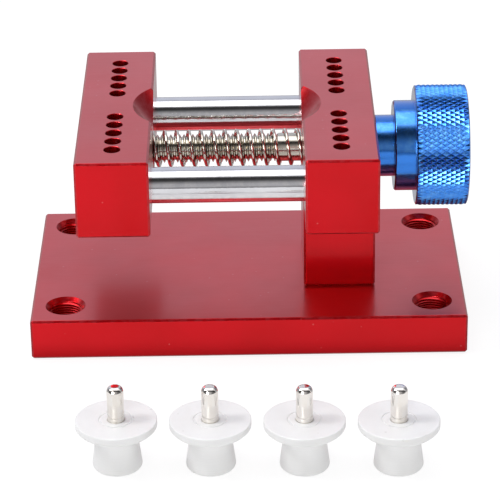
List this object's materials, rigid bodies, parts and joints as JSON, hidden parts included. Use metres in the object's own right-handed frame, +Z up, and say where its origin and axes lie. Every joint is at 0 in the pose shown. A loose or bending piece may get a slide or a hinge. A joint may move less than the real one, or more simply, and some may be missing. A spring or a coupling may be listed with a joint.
{
  "type": "watch case press",
  "caption": "Bench press that holds a watch case between a fixed and a sliding jaw, closed by a knob and lead screw, with a return spring and loose nylon pegs.",
  "frame": {"origin": "centre of the base plate's flat underside", "axes": "+X along the lead screw towards the knob, +Y from the pegs' side to the back, +Z up"},
  "size_m": [0.1227, 0.1469, 0.0649],
  "materials": {
    "red_anodised": "red anodised, satin",
    "blue_anodised": "blue anodised, satin, knurled grip",
    "polished_rod": "hard chromed and polished",
    "screw_steel": "nickel plated, rolled thread",
    "spring_steel": "bright spring wire",
    "black_steel": "black oxide",
    "white_nylon": "turned white nylon",
    "nickel_pin": "nickel plated"
  },
  "bodies": {
    "press_frame": {"base_plate": "red_anodised", "riser_block": "red_anodised", "fixed_jaw": "red_anodised", "front_guide_rod": "polished_rod", "rear_guide_rod": "polished_rod", "return_spring": "spring_steel", "front_rod_grub_screw": "black_steel", "rear_rod_grub_screw": "black_steel", "front_riser_screw": "black_steel", "rear_riser_screw": "black_steel"},
    "screw_and_knob": {"lead_screw": "screw_steel", "knob": "blue_anodised", "knob_grub_screw": "black_steel"},
    "sliding_jaw": {"moving_jaw": "red_anodised"},
    "peg_1": {"peg_head_1": "white_nylon", "peg_pin_1": "nickel_pin"},
    "peg_2": {"peg_head_2": "white_nylon", "peg_pin_2": "nickel_pin"},
    "peg_3": {"peg_head_3": "white_nylon", "peg_pin_3": "nickel_pin"},
    "peg_4": {"peg_head_4": "white_nylon", "peg_pin_4": "nickel_pin"}
  },
  "joints": [
    {"name": "knob_turn", "type": "hinge", "parent": "press_frame", "child": "screw_and_knob", "pos_m": [0.02575, 0, 0.0479], "axis": [-1, 0, 0], "range_deg": [0, 9200]},
    {"name": "jaw_slide", "type": "slide", "parent": "press_frame", "child": "sliding_jaw", "axis": [1, 0, 0], "range_m": [0, 0.032], "deforming": ["return_spring"]},
    {"name": "peg_1_lift", "type": "slide", "parent": "press_frame", "child": "peg_1", "axis": [0, 0, 1], "range_m": [0, 0.05]},
    {"name": "peg_2_lift", "type": "slide", "parent": "press_frame", "child": "peg_2", "axis": [0, 0, 1], "range_m": [0, 0.05]},
    {"name": "peg_3_lift", "type": "slide", "parent": "press_frame", "child": "peg_3", "axis": [0, 0, 1], "range_m": [0, 0.05]},
    {"name": "peg_4_lift", "type": "slide", "parent": "press_frame", "child": "peg_4", "axis": [0, 0, 1], "range_m": [0, 0.05]}
  ],
  "couplings": [
    {"joint": "jaw_slide", "follows": "knob_turn", "m_per_rad": 0.00019894}
  ]
}
